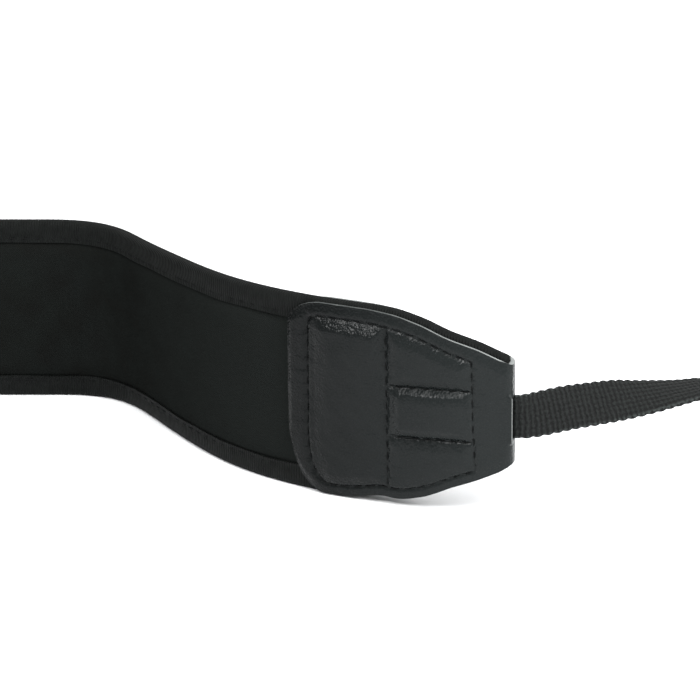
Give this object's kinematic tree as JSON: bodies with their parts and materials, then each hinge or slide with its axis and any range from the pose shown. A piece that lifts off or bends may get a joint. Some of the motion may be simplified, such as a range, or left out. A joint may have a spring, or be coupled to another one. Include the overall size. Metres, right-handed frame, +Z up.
{
  "type": "camera neck strap",
  "caption": "Camera neck strap: a bound foam pad standing in an S curve, leather end patches, and flat webbings that end in loops held by plain sliders.",
  "frame": {"origin": "on the surface that the strap stands on, in the middle of the ground it covers", "axes": "+X along the strap from its left end to its right, +Y away from the side that the pad's ends curve towards, +Z up across the pad's width"},
  "size_m": [0.612, 0.234, 0.0444],
  "materials": {
    "neoprene": "matt knitted jersey over foam",
    "binding_tape": "ribbed knitted tape",
    "leather": "fine pebbled grain, softly glossy",
    "webbing": "ribbed woven polyester",
    "slider_plastic": "moulded acetal, satin"
  },
  "bodies": {
    "root": {"neck_pad": "neoprene", "upper_binding": "binding_tape", "lower_binding": "binding_tape", "right_end_patch": "leather", "right_webbing": "webbing", "right_slider": "slider_plastic", "left_end_patch": "leather", "left_webbing": "webbing", "left_slider": "slider_plastic"}
  },
  "joints": []
}
